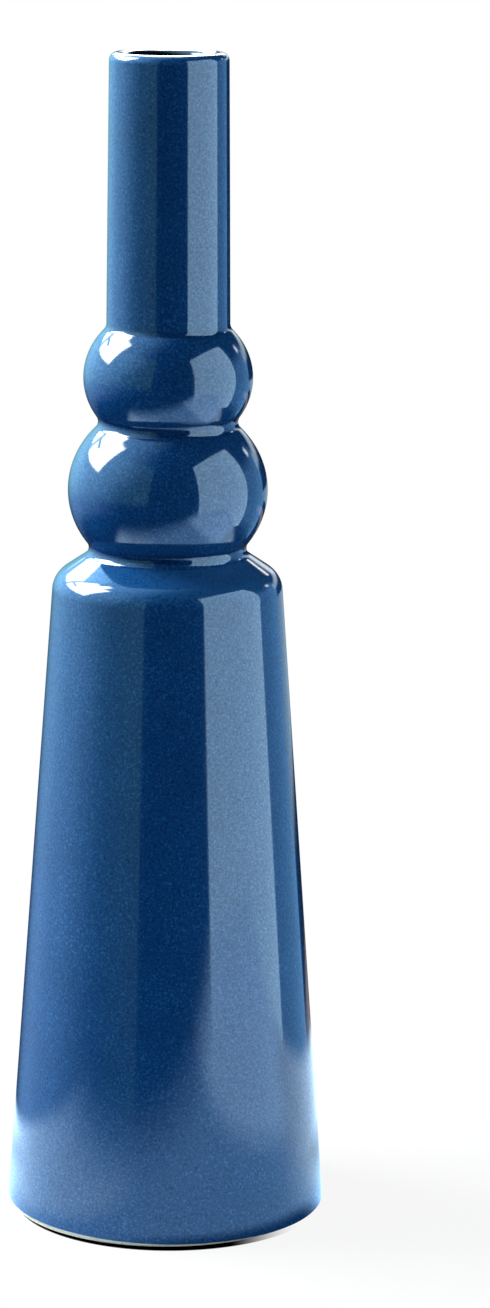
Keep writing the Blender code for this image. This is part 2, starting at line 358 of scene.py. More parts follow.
def foot_outline():
    """From the axis on top, out over the seat, down the bare edge and in along the underside."""
    corners = np.array([(v.co.xy.length, v.co.z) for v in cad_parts["foot"].data.vertices])

    def level(height):
        return corners[np.abs(corners[:, 1] - height) < SAME_POINT][:, 0]

    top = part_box("foot")[1].z
    spigot = level(top).max()
    ledge = corners[(corners[:, 0] > spigot - SAME_POINT) & (corners[:, 1] < top - SAME_POINT)][:, 1].max()
    seat_edge = (level(ledge).max(), ledge)
    bare_edge = (corners[:, 0].max(), 0.0)
    ring_inside = (level(0.0).min(), 0.0)
    hollow_edge = corners[corners[:, 0] < ring_inside[0] - SAME_POINT][0]
    recess = hollow_edge[1]
    across = np.linspace(hollow_edge[0] - SPONGED_EDGE, 0.0, HOLLOW_POINTS)
    marks = TOOL_MARK_DEPTH * np.sin(np.pi * across / TOOL_MARK_PITCH) ** 2
    return np.vstack((
        [(0.0, top), (spigot, top), (spigot, ledge), seat_edge],
        sponged(seat_edge, bare_edge, ring_inside),
        sponged(bare_edge, ring_inside, hollow_edge),
        sponged(ring_inside, hollow_edge, (0.0, recess))[:-1],
        np.column_stack((across, recess - marks)),
    ))


foot_line = foot_outline()
print(f"the foot's outline has {len(foot_line)} points")

# %% [markdown]
# ## One tree that turns an outline
#
# A Screw modifier would turn these outlines too, as perfectly round as a machined part. A pot from a wheel
# isn't that round, and a long straight reflection shows it. So the turning is done by Geometry Nodes: a grid
# has one column for each step of the turn and one row for each point of the outline, and every grid point
# looks up its outline point and turns it by its column. On the way the wall is let in by a few hundredths of
# a millimetre here and there, never outwards, and the coat's lower edge is allowed to wander up and down. The
# tree has named inputs, so the same one turns all three pieces.

# %% Helpers for node trees
NOISE_MIDDLE = 0.5


def add_node(tree, kind, inputs, **settings):
    """A new node with its settings made and its inputs linked or filled in."""
    node = tree.nodes.new(kind)
    for name, value in settings.items():
        setattr(node, name, value)
    for name, value in inputs.items():
        if isinstance(value, bpy.types.NodeSocket):
            tree.links.new(value, node.inputs[name])
        else:
            node.inputs[name].default_value = value
    return node


def calc(tree, operation, first, second=0.0):
    """One step of arithmetic as a node; gives its output socket."""
    return add_node(tree, "ShaderNodeMath", {0: first, 1: second}, operation=operation).outputs[0]


def vector_calc(tree, operation, first, second):
    """One step of vector arithmetic as a node."""
    socket = "Scale" if operation == "SCALE" else 1
    return add_node(tree, "ShaderNodeVectorMath", {0: first, socket: second}, operation=operation).outputs[0]


def fade(tree, value, start, end, low=0.0, high=1.0):
    """A smooth step from low to high while the value goes from start to end."""
    ends = {"Value": value, "From Min": start, "From Max": end, "To Min": low, "To Max": high}
    return add_node(tree, "ShaderNodeMapRange", ends, interpolation_type="SMOOTHSTEP").outputs[0]


def about_zero(tree, noise):
    """Noise that swings to both sides of zero."""
    return calc(tree, "SUBTRACT", noise, NOISE_MIDDLE)


# %% The turning tree
TURNING_INPUTS = {
    "Outline": "NodeSocketGeometry",
    "Steps": "NodeSocketInt",
    "Waver": "NodeSocketFloat",
    "Waver Size": "NodeSocketFloat",
    "Edge Height": "NodeSocketFloat",
    "Edge Reach": "NodeSocketFloat",
    "Edge Waver": "NodeSocketFloat",
    "Edge Lean": "NodeSocketFloat",
    "Seed": "NodeSocketFloat",
    "Finish": "NodeSocketMaterial",
}
LEVEL = (1.0, 1.0, 0.0)
EDGE_WAVES_PER_METRE = 22.0


def sampled(tree, outline, kind, value, row):
    """What the outline has at that row."""
    inputs = {"Geometry": outline, "Value": value, "Index": row}
    return add_node(tree, "GeometryNodeSampleIndex", inputs, data_type=kind).outputs[0]


def outwards_at(tree, place):
    """The level direction from the axis to a place."""
    level = vector_calc(tree, "MULTIPLY", place, LEVEL)
    return add_node(tree, "ShaderNodeVectorMath", {0: level}, operation="NORMALIZE").outputs[0]


def let_in(tree, place, given):
    """How far the wall is let in at a place, as a vector towards the axis."""
    outwards = outwards_at(tree, place)
    patch = {"Vector": place, "W": given["Seed"], "Detail": 1.0}
    patch["Scale"] = calc(tree, "DIVIDE", 1.0, given["Waver Size"])
    noise = add_node(tree, "ShaderNodeTexNoise", patch, noise_dimensions="4D")
    depth = calc(tree, "MULTIPLY", noise.outputs[0], given["Waver"])
    return vector_calc(tree, "SCALE", outwards, calc(tree, "MULTIPLY", depth, -1.0))


def edge_rise(tree, place, given):
    """How far a place near the lower edge is moved up or down: it wavers, and hangs lower at the right."""
    height = add_node(tree, "ShaderNodeSeparateXYZ", {0: place}).outputs["Z"]
    top = calc(tree, "ADD", given["Edge Height"], given["Edge Reach"])
    nearness = fade(tree, height, given["Edge Height"], top, 1.0, 0.0)
    level = vector_calc(tree, "MULTIPLY", place, LEVEL)
    noise = {"Vector": level, "W": given["Seed"], "Scale": EDGE_WAVES_PER_METRE, "Detail": 2.0}
    swing = add_node(tree, "ShaderNodeTexNoise", noise, noise_dimensions="4D").outputs[0]
    rise = calc(tree, "MULTIPLY", about_zero(tree, swing), given["Edge Waver"])
    to_right = add_node(tree, "ShaderNodeSeparateXYZ", {0: outwards_at(tree, place)}).outputs["X"]
    sag = calc(tree, "MULTIPLY", fade(tree, to_right, -1.0, 1.0), given["Edge Lean"])
    rise = calc(tree, "SUBTRACT", rise, sag)
    return add_node(tree, "ShaderNodeCombineXYZ", {"Z": calc(tree, "MULTIPLY", rise, nearness)}).outputs[0]


def turning_tree():
    tree = bpy.data.node_groups.new("turned_form", "GeometryNodeTree")
    for name, kind in TURNING_INPUTS.items():
        tree.interface.new_socket(name, in_out="INPUT", socket_type=kind)
    tree.interface.new_socket("Piece", in_out="OUTPUT", socket_type="NodeSocketGeometry")
    given = add_node(tree, "NodeGroupInput", {}).outputs
    outline = given["Outline"]
    rows = add_node(tree, "GeometryNodeAttributeDomainSize", {0: outline}).outputs["Point Count"]
    columns = calc(tree, "ADD", given["Steps"], 1.0)
    grid = add_node(tree, "GeometryNodeMeshGrid", {"Vertices X": columns, "Vertices Y": rows})
    index = add_node(tree, "GeometryNodeInputIndex", {}).outputs[0]
    by_rows = {0: index, 1: rows}
    row = add_node(tree, "FunctionNodeIntegerMath", by_rows, operation="MODULO").outputs[0]
    column = add_node(tree, "FunctionNodeIntegerMath", by_rows, operation="DIVIDE_FLOOR").outputs[0]
    position = add_node(tree, "GeometryNodeInputPosition", {}).outputs[0]
    point = sampled(tree, outline, "FLOAT_VECTOR", position, row)
    share = calc(tree, "DIVIDE", column, given["Steps"])
    turn = {"Vector": point, "Angle": calc(tree, "MULTIPLY", share, 2 * math.pi)}
    place = add_node(tree, "ShaderNodeVectorRotate", turn, rotation_type="Z_AXIS").outputs[0]
    moved = vector_calc(tree, "ADD", place, let_in(tree, place, given))
    moved = vector_calc(tree, "ADD", moved, edge_rise(tree, place, given))
    piece = add_node(tree, "GeometryNodeSetPosition", {0: grid.outputs[0], "Position": moved}).outputs[0]
    glaze_depth = add_node(tree, "GeometryNodeInputNamedAttribute", {"Name": "pooling_and_bore_shade"}, data_type="FLOAT")
    pooling_and_bore_shade = sampled(tree, outline, "FLOAT", glaze_depth.outputs[0], row)
    kept = {0: piece, "Name": "pooling_and_bore_shade", "Value": pooling_and_bore_shade}
    piece = add_node(tree, "GeometryNodeStoreNamedAttribute", kept, data_type="FLOAT").outputs[0]
    piece = add_node(tree, "GeometryNodeMergeByDistance", {0: piece, "Distance": SAME_POINT}).outputs[0]
    piece = add_node(tree, "GeometryNodeFlipFaces", {0: piece}).outputs[0]
    piece = add_node(tree, "GeometryNodeSetShadeSmooth", {0: piece}).outputs[0]
    piece = add_node(tree, "GeometryNodeRealizeInstances", {0: piece}).outputs[0]
    piece = add_node(tree, "GeometryNodeSetMaterial", {0: piece, "Material": given["Finish"]}).outputs[0]
    add_node(tree, "NodeGroupOutput", {0: piece})
    return tree


turned_form = turning_tree()
print(f"the turning tree has {len(turned_form.nodes)} nodes and {len(TURNING_INPUTS)} inputs")

# %% How deep the glaze lies, and the painted shade of the bore
WALL_DEPTH = 0.5
CREASE_DEPTH = 0.25
BORE_SHADE_DEPTH = 2.0
BORE_SHADE_REACH = 1.6 * MM
BORE_SHADE_FADE = 1.0 * MM
SHOULDER_LIGHTENING = 0.40
SHOULDER_FADE = 3.5 * MM


def glaze_depth_and_bore_shade_of(outline):
    """Glaze depth on an outline: least on edges, lower on the shoulder, over 1 for the bore's painted shade."""
    runs = np.gradient(outline, axis=0)
    lengths = np.maximum(np.linalg.norm(runs, axis=1), SAME_POINT)
    headings = np.unwrap(np.arctan2(runs[:, 1], runs[:, 0]))
    bend = np.gradient(headings) / lengths
    # On the shoulder the value is lowered, which makes the colour lighter there
    above_cone = np.clip((outline[:, 1] - cone_ends[0][1]) / SHOULDER_FADE, 0.0, 1.0)
    on_shoulder = np.where(outline[:, 1] < seat_heights["collar"], above_cone, 0.0)
    pooling_and_bore_shade = WALL_DEPTH + CREASE_DEPTH * bend * CREASE_BALL - SHOULDER_LIGHTENING * on_shoulder
    pooling_and_bore_shade = np.clip(pooling_and_bore_shade, 0.0, 1.0)
    # Painted shade: inside the bore the value is raised above 1, which turns the colour towards black
    bore_shade = (bore_radius + BORE_SHADE_REACH + BORE_SHADE_FADE - outline[:, 0]) / BORE_SHADE_FADE
    bore_shade = BORE_SHADE_DEPTH * np.clip(bore_shade, 0.0, 1.0)
    near_lip = outline[:, 1] > bore_edge - LIP_ROUNDING
    return np.where(near_lip, np.maximum(pooling_and_bore_shade, bore_shade), pooling_and_bore_shade)


# Values above 1 are the bore's painted shade, not glaze depth
coat_depths_and_shade = glaze_depth_and_bore_shade_of(coat_outline)
print(f"the glaze's depth goes from {coat_depths_and_shade.min():.2f} to {coat_depths_and_shade.max():.2f}")

# %% Turning a piece
SHARP_EDGE = math.radians(50)
CUBIC_CENTIMETRE = (10 * MM) ** 3


def enclosed_volume(mesh):
    """The volume inside a closed mesh; it is negative when the faces look inwards."""
    mesh.calc_loop_triangles()
    places = np.empty(len(mesh.vertices) * 3)
    mesh.vertices.foreach_get("co", places)
    corners = np.empty(len(mesh.loop_triangles) * 3, dtype=int)
    mesh.loop_triangles.foreach_get("vertices", corners)
    first, second, third = places.reshape(-1, 3)[corners].reshape(-1, 3, 3).transpose(1, 0, 2)
    return np.einsum("ij,ij->", first, np.cross(second, third)) / 6


def turned_piece(name, outline, finish, **sizes):
    """Turns an outline with the tree and gives back a plain mesh object."""
    sketch = bpy.data.meshes.new(name + "_outline")
    edges = [(i, i + 1) for i in range(len(outline) - 1)]
    sketch.from_pydata([(r, 0.0, z) for r, z in outline], edges, [])
    layer = sketch.attributes.new("pooling_and_bore_shade", "FLOAT", "POINT")
    layer.data.foreach_set("value", glaze_depth_and_bore_shade_of(outline).astype(np.float32))
    piece = bpy.data.objects.new(name, sketch)
    bpy.context.scene.collection.objects.link(piece)
    turn = piece.modifiers.new("Turn", "NODES")
    turn.node_group = turned_form
    sizes["Finish"] = finish
    for socket in turned_form.interface.items_tree:
        if socket.name in sizes:
            turn[socket.identifier] = sizes[socket.name]
    evaluated = piece.evaluated_get(bpy.context.evaluated_depsgraph_get())
    mesh = bpy.data.meshes.new_from_object(evaluated)
    piece.modifiers.clear()
    piece.data = mesh
    bpy.data.meshes.remove(sketch)
    mesh.set_sharp_from_angle(angle=SHARP_EDGE)
    volume = enclosed_volume(mesh) / CUBIC_CENTIMETRE
    print(f"{name}: {volume:.2f} cubic centimetres in {len(mesh.polygons)} faces")
    return piece


# %% [markdown]
# ## Two coats of glaze, one recipe
#
# A glaze is coloured glass. On this vase it is thick enough to hide the clay, but not equally thick: it draws
# back from sharp edges and gathers in creases. It is made lighter on the shoulder, and in the bore painted
# shade turns it nearly black. In between it is clouded and finely mottled, in its colour and in its gloss,
# with a few dark specks of iron in small dips. A flat blue would look like plastic. The recipe below is a
# node group, because the outside and the lining share it and differ only in their colours. It reads the depth
# and the bore's painted shade stored along the outline and adds the clouds, the mottle and the specks to it.

# %% Helpers for finishes
def group_sockets(tree, in_out, kind, names):
    for name in names:
        tree.interface.new_socket(name, in_out=in_out, socket_type=kind)


def noise_at(tree, place, size, detail):
    """Soft noise between 0 and 1, with patches of about that size."""
    inputs = {"Vector": place, "Scale": 1 / size, "Detail": detail}
    return add_node(tree, "ShaderNodeTexNoise", inputs).outputs[0]


def mix_colours(tree, share, first, second):
    return add_node(tree, "ShaderNodeMix", {0: share, 6: first, 7: second}, data_type="RGBA").outputs[2]


# %% The glaze recipe
CLOUD_SIZE = 17.0 * MM
CLOUD_RANGE = (0.3, 0.7)
CLOUD_DEPTH = 0.5
MOTTLE_SIZE = 0.55 * MM
MOTTLE_RANGE = (0.34, 0.66)
MOTTLE_DEPTH = 1.6
RIPPLE_SIZE = 4.5 * MM
SPECK_SPACING = 7.0 * MM
SPECK_RADIUS = 0.22 * MM
SPECK_LOTS = 0.66
SPECK_TINT = 0.7
SPECK_DIP = 2.0
THIN_TO_FULL = (0.05, 0.50)
FULL_TO_DEEP = (0.50, 1.00)
# Painted shade of the bore: past full depth the colour goes to near black
DEEP_TO_BORE_SHADE = (1.0, 1.9)
BORE_SHADE_BLACK = (0.0005, 0.001, 0.003, 1.0)
GLAZE_ROUGHNESS = (0.06, 0.10)
COAT_WEIGHT = (0.72, 0.28)


def scattered_specks(tree, place):
    """1 inside a small round speck, 0 elsewhere; two cells in three have none."""
    cells = add_node(tree, "ShaderNodeTexVoronoi", {"Vector": place, "Scale": 1 / SPECK_SPACING})
    edge = SPECK_RADIUS / SPECK_SPACING
    inside = fade(tree, cells.outputs["Distance"], edge, edge / 2)
    lot = add_node(tree, "ShaderNodeSeparateColor", {0: cells.outputs["Color"]}).outputs[0]
    return calc(tree, "MULTIPLY", inside, calc(tree, "GREATER_THAN", lot, SPECK_LOTS))


def glaze_recipe():
    tree = bpy.data.node_groups.new("glaze_recipe", "ShaderNodeTree")
    group_sockets(tree, "INPUT", "NodeSocketColor", ("Thin", "Full", "Deep"))
    group_sockets(tree, "OUTPUT", "NodeSocketColor", ("Colour",))
    group_sockets(tree, "OUTPUT", "NodeSocketFloat", ("Roughness", "Coat", "Height"))
    given = add_node(tree, "NodeGroupInput", {}).outputs
    place = add_node(tree, "ShaderNodeTexCoord", {}).outputs["Object"]
    pooling_and_bore_shade = add_node(tree, "ShaderNodeAttribute", {}, attribute_name="pooling_and_bore_shade").outputs["Fac"]
    clouds = noise_at(tree, place, CLOUD_SIZE, detail=3.0)
    mottle = noise_at(tree, place, MOTTLE_SIZE, detail=2.0)
    ripple = noise_at(tree, place, RIPPLE_SIZE, detail=1.0)
    specks = scattered_specks(tree, place)
    drift = calc(tree, "MULTIPLY", about_zero(tree, clouds), CLOUD_DEPTH)
    grain = calc(tree, "MULTIPLY", about_zero(tree, mottle), MOTTLE_DEPTH)
    depth = calc(tree, "ADD", calc(tree, "ADD", pooling_and_bore_shade, drift), grain)
    colour = mix_colours(tree, fade(tree, depth, *THIN_TO_FULL), given["Thin"], given["Full"])
    colour = mix_colours(tree, fade(tree, depth, *FULL_TO_DEEP), colour, given["Deep"])
    # painted shade: deep in the bore the colour turns near black
    colour = mix_colours(tree, fade(tree, pooling_and_bore_shade, *DEEP_TO_BORE_SHADE), colour, BORE_SHADE_BLACK)
    colour = mix_colours(tree, calc(tree, "MULTIPLY", specks, SPECK_TINT), colour, given["Deep"])
    dips = calc(tree, "MULTIPLY", specks, SPECK_DIP)
    outputs = {"Colour": colour, "Height": calc(tree, "SUBTRACT", ripple, dips)}
    outputs["Roughness"] = fade(tree, clouds, *CLOUD_RANGE, *GLAZE_ROUGHNESS)
    outputs["Coat"] = fade(tree, mottle, *MOTTLE_RANGE, *COAT_WEIGHT)
    add_node(tree, "NodeGroupOutput", outputs)
    return tree


glaze_group = glaze_recipe()
print(f"the glaze recipe has {len(glaze_group.nodes)} nodes")

# %% Blue outside, darker lining
GLAZE_IOR = 1.5
GLOSS_ROUGHNESS = 0.07
RIPPLE_HEIGHT = 0.006 * MM


def new_material(name):
    material = bpy.data.materials.new(name)
    material.use_nodes = True
    material.node_tree.nodes.clear()
    return material, material.node_tree


def glaze_finish(name, thin, full, deep):
    material, tree = new_material(name)
    recipe = add_node(tree, "ShaderNodeGroup", {}, node_tree=glaze_group)
    for socket, colour in (("Thin", thin), ("Full", full), ("Deep", deep)):
        recipe.inputs[socket].default_value = (*colour, 1.0)
    bump = add_node(tree, "ShaderNodeBump", {"Height": recipe.outputs["Height"], "Distance": RIPPLE_HEIGHT})
    surface = {"IOR": GLAZE_IOR, "Normal": bump.outputs[0]}
    surface["Base Color"] = recipe.outputs["Colour"]
    surface["Roughness"] = recipe.outputs["Roughness"]
    surface["Coat Weight"] = recipe.outputs["Coat"]
    surface["Coat Roughness"] = GLOSS_ROUGHNESS
    glass = add_node(tree, "ShaderNodeBsdfPrincipled", surface)
    add_node(tree, "ShaderNodeOutputMaterial", {"Surface": glass.outputs[0]})
    return material


BLUE = ((0.012, 0.085, 0.258), (0.003, 0.042, 0.157), (0.001, 0.019, 0.081))
# The lining's dark colours are painted shade: little light reaches deep into the bore
DARK_BLUE = ((0.004, 0.030, 0.100), (0.001, 0.012, 0.045), (0.001, 0.005, 0.020))
outer_finish = glaze_finish("blue_glaze", *BLUE)
lining_finish = glaze_finish("lining_glaze", *DARK_BLUE)
print("glazes:", outer_finish.name, "and", lining_finish.name)

# %% [markdown]
# ## Bare clay and slip
#
# The foot is bare stoneware: cream, matt and gritty, with grains of sand and darker grog. The other sections
# and the slip between them are hidden under the glaze, and they are the same stuff, so they get the same
# recipe. It is a group again, with its three colours as inputs.

# %% The clay recipe
FLUSH_SIZE = 14.0 * MM
FLUSH_RANGE = (0.35, 0.75)
GRIT_SIZE = 0.35 * MM
GRIT_RANGE = (0.45, 0.75)
GRIT_TINT = 0.35
GRIT_HEIGHT = 0.05 * MM
GROG_SPACING = 1.6 * MM
GROG_EDGE = (0.22, 0.12)
GROG_TINT = 0.6
ROUGHNESS_RANGE = (0.2, 0.8)
CLAY_ROUGHNESS = (0.78, 0.92)


def clay_recipe():
    tree = bpy.data.node_groups.new("clay_recipe", "ShaderNodeTree")
    group_sockets(tree, "INPUT", "NodeSocketColor", ("Pale", "Toasted", "Grog"))
    group_sockets(tree, "OUTPUT", "NodeSocketColor", ("Colour",))
    group_sockets(tree, "OUTPUT", "NodeSocketFloat", ("Roughness", "Height"))
    given = add_node(tree, "NodeGroupInput", {}).outputs
    place = add_node(tree, "ShaderNodeTexCoord", {}).outputs["Object"]
    flush = noise_at(tree, place, FLUSH_SIZE, detail=3.0)
    grit = noise_at(tree, place, GRIT_SIZE, detail=3.0)
    cells = add_node(tree, "ShaderNodeTexVoronoi", {"Vector": place, "Scale": 1 / GROG_SPACING})
    grog = fade(tree, cells.outputs["Distance"], *GROG_EDGE)
    colour = mix_colours(tree, fade(tree, flush, *FLUSH_RANGE), given["Pale"], given["Toasted"])
    colour = mix_colours(tree, fade(tree, grit, *GRIT_RANGE, 0.0, GRIT_TINT), colour, given["Grog"])
    colour = mix_colours(tree, calc(tree, "MULTIPLY", grog, GROG_TINT), colour, given["Grog"])
    outputs = {"Colour": colour, "Height": grit}
    outputs["Roughness"] = fade(tree, grit, *ROUGHNESS_RANGE, *CLAY_ROUGHNESS)
    add_node(tree, "NodeGroupOutput", outputs)
    return tree


clay_group = clay_recipe()
print(f"the clay recipe has {len(clay_group.nodes)} nodes")

# %% Bare clay and joining slip
CREAM = ((0.95, 0.87, 0.72), (0.92, 0.80, 0.62), (0.50, 0.38, 0.25))
BUFF = ((0.72, 0.64, 0.52), (0.62, 0.52, 0.39), (0.45, 0.36, 0.26))


def clay_finish(name, pale, toasted, grog):
    material, tree = new_material(name)
    recipe = add_node(tree, "ShaderNodeGroup", {}, node_tree=clay_group)
    for socket, colour in (("Pale", pale), ("Toasted", toasted), ("Grog", grog)):
        recipe.inputs[socket].default_value = (*colour, 1.0)
    bump = add_node(tree, "ShaderNodeBump", {"Height": recipe.outputs["Height"], "Distance": GRIT_HEIGHT})
    surface = {"Base Color": recipe.outputs["Colour"], "Roughness": recipe.outputs["Roughness"]}
    surface["Normal"] = bump.outputs[0]
    body = add_node(tree, "ShaderNodeBsdfPrincipled", surface)
    add_node(tree, "ShaderNodeOutputMaterial", {"Surface": body.outputs[0]})
    return material


bare_clay = clay_finish("bare_clay", *CREAM)
joining_slip = clay_finish("joining_slip", *BUFF)
print("clays:", bare_clay.name, "and", joining_slip.name)

# %% [markdown]
# ## The pieces that show
#
# Now the three outlines are turned. Each new piece stands for a node of the imported model, which it hides,
# is given one of the finishes made above and rides on the only body there is. The hidden sections and rings
# stay as they are packed and only get their finish.

# %% Turning the three pieces
STEPS_PER_TURN = 256
GLAZE_WAVER = {"Waver": 0.05 * MM, "Waver Size": 35.0 * MM, "Seed": 3.0}
GLAZE_EDGE = {
    "Edge Height": glaze_line,
    "Edge Reach": 3.0 * MM,
    "Edge Waver": 0.7 * MM,
    "Edge Lean": 1.0 * MM,
}
NO_EDGE = {"Edge Height": 0.0, "Edge Reach": 1.0 * MM, "Edge Waver": 0.0, "Edge Lean": 0.0}
NO_WAVER = {"Waver": 0.0, "Waver Size": 35.0 * MM, "Seed": 0.0}


def stands_for(piece, node):
    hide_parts(node)
    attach(piece, "root")


outer_sizes = {"Steps": STEPS_PER_TURN, **GLAZE_WAVER, **GLAZE_EDGE}
plain_sizes = {"Steps": STEPS_PER_TURN, **NO_WAVER, **NO_EDGE}
outer_coat = turned_piece("outer_glaze_coat", coat_outline, outer_finish, **outer_sizes)
lining = turned_piece("inner_glaze_coat", lining_line, lining_finish, **plain_sizes)
turned_foot = turned_piece("turned_foot", foot_line, bare_clay, **plain_sizes)
stands_for(outer_coat, "outer_glaze")
stands_for(lining, "inner_glaze")
stands_for(turned_foot, "foot")

# %% Finishes of the hidden sections
SECTIONS = ("tapered_body", "lower_bulb", "upper_bulb", "neck")
SLIP_RINGS = ("foot_slip_ring", "collar_slip_ring", "waist_slip_ring", "neck_slip_ring")


def finish_nodes(names, material):
    for name in names:
        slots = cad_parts[name].data.materials
        slots.clear()
        slots.append(material)
    print(f"{len(names)} nodes finished in {material.name}")


finish_nodes(SECTIONS, bare_clay)
finish_nodes(SLIP_RINGS, joining_slip)

# %% [markdown]
# ## The table
#
# The vase stands on a pale table whose far edges are out of the picture, but they show in the glaze: its
# lower third mirrors the table top and ends where the table ends. So the table has a real size and a real
# place. What the glaze sees of it is painted light: to mirror rays the table glows bluish, as if with the
# light of the sky, brightest at its left and far right, dimmer in front, and with the vase's shadow painted
# dark close to the foot. To the camera it melts into the white around it, since a white picture has no
# horizon, and keeps a faint shadow and a painted contact shadow, the dark line where the foot stands on it.
# It is a sheet without a thickness, and it is clear from below, so that it never hides the foot.

# %% The table's painted light
TABLE_COLOUR = (0.80, 0.80, 0.79, 1.0)
# Painted light: the colours the table glows with for mirror rays, part by part
PAINTED_TABLE_LIGHT_IN_FRONT = (0.62, 1.25, 2.15, 1.0)
PAINTED_TABLE_LIGHT_LEFT = (1.60, 2.48, 3.40, 1.0)
PAINTED_TABLE_LIGHT_FAR_RIGHT = (1.50, 2.50, 3.80, 1.0)
PAINTED_TABLE_LIGHT_BEHIND = (1.10, 1.58, 2.10, 1.0)
LEFT_PART = ((-0.030, -0.060), (-0.170, 0.0))
BEHIND_PART = ((0.030, 0.060), (-0.030, 0.030))
FAR_RIGHT_START = (0.105, 0.165)
# The vase's painted shadow on the table, behind the foot and close in front of it on the right
SHADE_START = (0.010, 0.040)
SHADE_REACH = (0.095, 0.065)
SHADE_DEPTH = 0.45
CONTACT_SHADE_PART = ((-0.030, 0.010), (0.0, -0.020))
CONTACT_SHADE_REACH = (0.056, 0.041)


def mix_shaders(tree, share, first, second):
    return add_node(tree, "ShaderNodeMixShader", {0: share, 1: first, 2: second}).outputs[0]


def from_axis(tree, ground):
    """How far a place on the table is from the vase's axis."""
    return add_node(tree, "ShaderNodeVectorMath", {0: ground}, operation="LENGTH").outputs["Value"]


def table_part(tree, place, along_x, along_y):
    """1 on a part of the table that begins softly in both directions, 0 elsewhere."""
    return calc(tree, "MULTIPLY", fade(tree, place["X"], *along_x), fade(tree, place["Y"], *along_y))


def table_light(tree, ground, place):
    """The table's painted light in the glaze: most at its left and far right, painted shadow near the foot."""
    colour = mix_colours(tree, table_part(tree, place, *LEFT_PART), PAINTED_TABLE_LIGHT_IN_FRONT, PAINTED_TABLE_LIGHT_LEFT)
    colour = mix_colours(tree, fade(tree, place["X"], *FAR_RIGHT_START), colour, PAINTED_TABLE_LIGHT_FAR_RIGHT)
    colour = mix_colours(tree, table_part(tree, place, *BEHIND_PART), colour, PAINTED_TABLE_LIGHT_BEHIND)
    distance = from_axis(tree, ground)
    # Painted shadow behind the foot, and painted contact shade close in front of it on the right
    shade = fade(tree, distance, *SHADE_REACH, 0.0, SHADE_DEPTH)
    shade = calc(tree, "MULTIPLY", shade, fade(tree, place["Y"], *SHADE_START))
    close = fade(tree, distance, *CONTACT_SHADE_REACH)
    close = calc(tree, "MULTIPLY", close, table_part(tree, place, *CONTACT_SHADE_PART))
    shade = calc(tree, "MAXIMUM", shade, close)
    light = {"Color": colour, "Strength": calc(tree, "SUBTRACT", 1.0, shade)}
    return add_node(tree, "ShaderNodeEmission", light).outputs[0]


# %% The table in the glaze
TABLE_TURN = math.radians(-33)
TABLE_SPAN = ((-0.144, -0.270), (0.600, 0.185))
LEFT_BLUR = 0.040
NEAR_BLUR = 0.180
FAR_BLUR = 0.040
BACK_SLOPE = 0.64
BACK_EDGE = (0.125, 0.095)


def table_for_glaze(tree, ground, place):
    """The table as the glaze mirrors it, soft at its edges and cut off on a slant at the back."""
    turn_back = {"Vector": ground, "Angle": -TABLE_TURN}
    own = add_node(tree, "ShaderNodeVectorRotate", turn_back, rotation_type="Z_AXIS").outputs[0]
    own = add_node(tree, "ShaderNodeSeparateXYZ", {0: own}).outputs
    (left, near), (_, far) = TABLE_SPAN
    across = fade(tree, own["X"], left, left + LEFT_BLUR)
    deep = fade(tree, own["Y"], near, near + NEAR_BLUR)
    deep = calc(tree, "MULTIPLY", deep, fade(tree, own["Y"], far, far - FAR_BLUR))
    behind = calc(tree, "SUBTRACT", place["Y"], calc(tree, "MULTIPLY", place["X"], BACK_SLOPE))
    inside = calc(tree, "MULTIPLY", calc(tree, "MULTIPLY", across, deep), fade(tree, behind, *BACK_EDGE))
    clear = add_node(tree, "ShaderNodeBsdfTransparent", {}).outputs[0]
    return mix_shaders(tree, inside, clear, table_light(tree, ground, place))


# %% The table in the picture
MELT = (0.110, 0.190)
CAMERA_WHITE = 0.90
# Where the painted contact shadow under the foot's front lies
CONTACT_SHADOW_PLACE = (0.0009, -0.0030, 0.0)
CONTACT_SHADOW_LINE = (0.0388, 0.0383)
CONTACT_SHADOW_END = (0.034, 0.016)


def table_for_camera(tree, ground, place):
    """The table as the camera sees it: nearly white, with a faint shadow and a painted contact shadow line."""
    reach = {0: ground, 1: CONTACT_SHADOW_PLACE}
    near = add_node(tree, "ShaderNodeVectorMath", reach, operation="DISTANCE").outputs["Value"]
    # painted shadow: a dark line on the table just outside the foot, fading out to the right
    line = calc(tree, "MULTIPLY", fade(tree, near, *CONTACT_SHADOW_LINE), fade(tree, place["X"], *CONTACT_SHADOW_END))
    white = add_node(tree, "ShaderNodeEmission", {"Strength": 1.0}).outputs[0]
    shadow_black = add_node(tree, "ShaderNodeEmission", {"Strength": 0.0}).outputs[0]
    matt = add_node(tree, "ShaderNodeBsdfDiffuse", {"Color": TABLE_COLOUR}).outputs[0]
    shown = mix_shaders(tree, CAMERA_WHITE, matt, white)
    shown = mix_shaders(tree, line, shown, shadow_black)
    clear = add_node(tree, "ShaderNodeBsdfTransparent", {}).outputs[0]
    below = add_node(tree, "ShaderNodeNewGeometry", {}).outputs["Backfacing"]
    melted = fade(tree, from_axis(tree, ground), *MELT)
    return mix_shaders(tree, calc(tree, "MAXIMUM", melted, below), shown, clear)


# %% The table's finish
def table_finish():
    material, tree = new_material("pale_table")
    ground = add_node(tree, "ShaderNodeTexCoord", {}).outputs["Object"]
    place = add_node(tree, "ShaderNodeSeparateXYZ", {0: ground}).outputs
    ray = add_node(tree, "ShaderNodeLightPath", {}).outputs
    mirrored = table_for_glaze(tree, ground, place)
    seen = table_for_camera(tree, ground, place)
    plain = add_node(tree, "ShaderNodeBsdfDiffuse", {"Color": TABLE_COLOUR}).outputs[0]
    top = mix_shaders(tree, ray["Is Glossy Ray"], plain, mirrored)
    top = mix_shaders(tree, ray["Is Camera Ray"], top, seen)
    add_node(tree, "ShaderNodeOutputMaterial", {"Surface": top})
    return material


